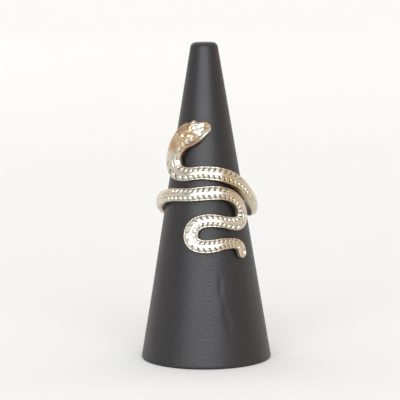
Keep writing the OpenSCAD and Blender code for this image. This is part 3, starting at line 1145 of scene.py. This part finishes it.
# %% Colour, sheen and grain of the coat
leather_colour = add_node(
    shader_tree,
    "ShaderNodeMix",
    {0: mottle, 6: linear(LEATHER_BLACK), 7: linear(LEATHER_GREY)},
    data_type="RGBA",
)
leather_roughness = add_node(
    shader_tree,
    "ShaderNodeMapRange",
    {
        "Value": mottle,
        "From Min": NOISE_LOW,
        "From Max": NOISE_HIGH,
        "To Min": SATIN_LOW,
        "To Max": SATIN_HIGH,
    },
)
grain_bump = add_node(
    shader_tree,
    "ShaderNodeBump",
    {"Height": cells, "Strength": 0.75, "Distance": GRAIN_DEPTH_MM * MM},
)
coat = add_node(
    shader_tree,
    "ShaderNodeBsdfPrincipled",
    {
        "Base Color": leather_colour.outputs[2],
        "Roughness": leather_roughness,
        "IOR": 1.58,
        "Normal": grain_bump,
    },
)
add_node(shader_tree, "ShaderNodeOutputMaterial", [coat])
cone_mesh.materials.append(leatherette)
print("made", leatherette.name)

# %% [markdown]
# ## Floor and light
# The set is a white sweep: a floor that curves up into a wall far behind. Polished metal mirrors
# the floor in front of it, and a white floor there would take the contrast out of the ribs. So
# in front, well outside the picture, the paper fades to a grey that is painted shade.

# %% White sweep
FLOOR_FRONT = -2.5
# The fade from white to the grey painted shade starts and ends here, in metres (negative is in
# front)
FADE_START = -0.12
FADE_END = -0.3
# Exactly level as far as this, so that the shading near the cone is flat
LEVEL_TO = 0.3
SWEEP_START = 1.3
SWEEP_RADIUS = 0.7
SWEEP_STEPS = 24
WALL_TOP = 2.4
SWEEP_HALF_WIDTH = 2.5
SWEEP_WHITE = "#E8E8E6"
FRONT_SHADE_GREY = "#5C5C5C"

bend = [
    (SWEEP_START + SWEEP_RADIUS * math.sin(a), SWEEP_RADIUS * (1 - math.cos(a)))
    for a in np.linspace(0, math.pi / 2, SWEEP_STEPS)
]
sweep_line = [(FLOOR_FRONT, 0), (LEVEL_TO, 0)] + bend + [(bend[-1][0], WALL_TOP)]
sweep_mesh = bpy.data.meshes.new("white_sweep")
sweep_mesh.from_pydata(
    [(x, y, z) for y, z in sweep_line for x in (-SWEEP_HALF_WIDTH, SWEEP_HALF_WIDTH)],
    [],
    [(2 * i, 2 * i + 1, 2 * i + 3, 2 * i + 2) for i in range(len(sweep_line) - 1)],
)
sweep_mesh.shade_smooth()
backdrop = put_in_scene("white_sweep", sweep_mesh)
print(len(sweep_mesh.polygons), "faces on the sweep")

# %% Matt white paper
paper, shader_tree = start_material("white_paper")
object_place = add_node(shader_tree, "ShaderNodeTexCoord").outputs["Object"]
to_back_m = add_node(shader_tree, "ShaderNodeSeparateXYZ", [object_place]).outputs[1]
shade_fade = add_node(
    shader_tree,
    "ShaderNodeMapRange",
    {"Value": to_back_m, "From Min": FADE_START, "From Max": FADE_END},
    interpolation_type="SMOOTHSTEP",
)
# Painted shade: the paper turns grey in front of the ring
paper_and_shade_colour = add_node(
    shader_tree,
    "ShaderNodeMix",
    {0: shade_fade, 6: linear(SWEEP_WHITE), 7: linear(FRONT_SHADE_GREY)},
    data_type="RGBA",
)
sheet = add_node(
    shader_tree,
    "ShaderNodeBsdfPrincipled",
    {"Base Color": paper_and_shade_colour.outputs[2], "Roughness": 0.9, "Specular IOR Level": 0.1},
)
add_node(shader_tree, "ShaderNodeOutputMaterial", [sheet])
sweep_mesh.materials.append(paper)
print("made", paper.name)

# %% [markdown]
# What the metal mirrors is what gives it its look, so each light has its job. A wide softbox
# above in front makes the white glints along the crests. A small low one at the left and a long
# narrow one in front make the low glints, and the sheen down the cone. A panel overhead fills in
# from above, two warm cards stand at the sides, and a lamp behind lights the wall.

# %% Soft lights
def soft_light(name, width, height, watts, place, aim, tint="#FFFFFF"):
    """A rectangular light at a place, which shines along aim."""
    data = bpy.data.lights.new(name, "AREA")
    data.color = linear(tint)[:3]
    data.shape = "RECTANGLE"
    data.size = width
    data.size_y = height
    data.energy = watts
    light = put_in_scene(name, data)
    light.location = place
    light.rotation_euler = aim.to_track_quat("-Z", "Y").to_euler()
    print(name, round(watts, 1), "W")


RING_MIDDLE = Vector((0, 0, 0.037))
# Columns: name, degrees round the ring (0 in front, positive to the right) and up, distance,
# width and height in m, brightness as a surface, colour
SOFT_LIGHTS = [
    ("main_softbox", 0, 34, 2, 2.5, 1.3, 2.8, "#EAF2FD"),
    ("left_softbox", -44, -3, 1, 0.45, 0.4, 2.4, "#FAFCFF"),
    ("front_softbox", -3, 15, 1, 1.3, 0.2, 6.4, "#FFF7F5"),
    ("ceiling_panel", 0, 82, 1.2, 1.6, 1.2, 0.6, "#FAFCFF"),
    ("right_card", 92, 18, 1, 2.3, 1, 0.62, "#FFEBD2"),
    ("left_card", -105, 20, 1, 2, 1, 0.6, "#FFF1E8"),
]
for name, round_deg, up_deg, far, light_width, light_height, brightness, tint in SOFT_LIGHTS:
    a, e = math.radians(round_deg), math.radians(up_deg)
    way = Vector((math.sin(a) * math.cos(e), -math.cos(a) * math.cos(e), math.sin(e)))
    power = brightness * math.pi * light_width * light_height
    soft_light(name, light_width, light_height, power, RING_MIDDLE + way * far, -way, tint)

# %% The lamp for the wall behind
WALL_LAMP_WIDTH = 3
WALL_LAMP_HEIGHT = 0.6
WALL_LAMP_WATTS = 28
WALL_LAMP_PLACE = Vector((0, 0.7, 1.7))
WALL_LAMP_AIM = Vector((0, 0.8, -0.6))
soft_light(
    "backdrop_light",
    WALL_LAMP_WIDTH,
    WALL_LAMP_HEIGHT,
    WALL_LAMP_WATTS,
    WALL_LAMP_PLACE,
    WALL_LAMP_AIM,
)

# %% Pale room
ROOM_WHITE = "#F5F2EE"
ROOM_STRENGTH = 0.26

world = bpy.data.worlds.new("pale_room")
world.use_nodes = True
world.node_tree.nodes["Background"].inputs["Color"].default_value = linear(ROOM_WHITE)
world.node_tree.nodes["Background"].inputs["Strength"].default_value = ROOM_STRENGTH
bpy.context.scene.world = world
bpy.context.scene.view_settings.view_transform = "Standard"
print("made", world.name)

# %% [markdown]
# ## Hand the pieces to the frame
# Both pieces ride on the one body, and each stands in for its plain solid.

# %% Ride and replace
for piece, node, finish in (
    (snake, "snake_ring", "gold_alloy"),
    (cone, "display_cone", "black_leatherette"),
):
    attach(piece, "root")
    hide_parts(node)
    print(piece.name, "replaces", node)
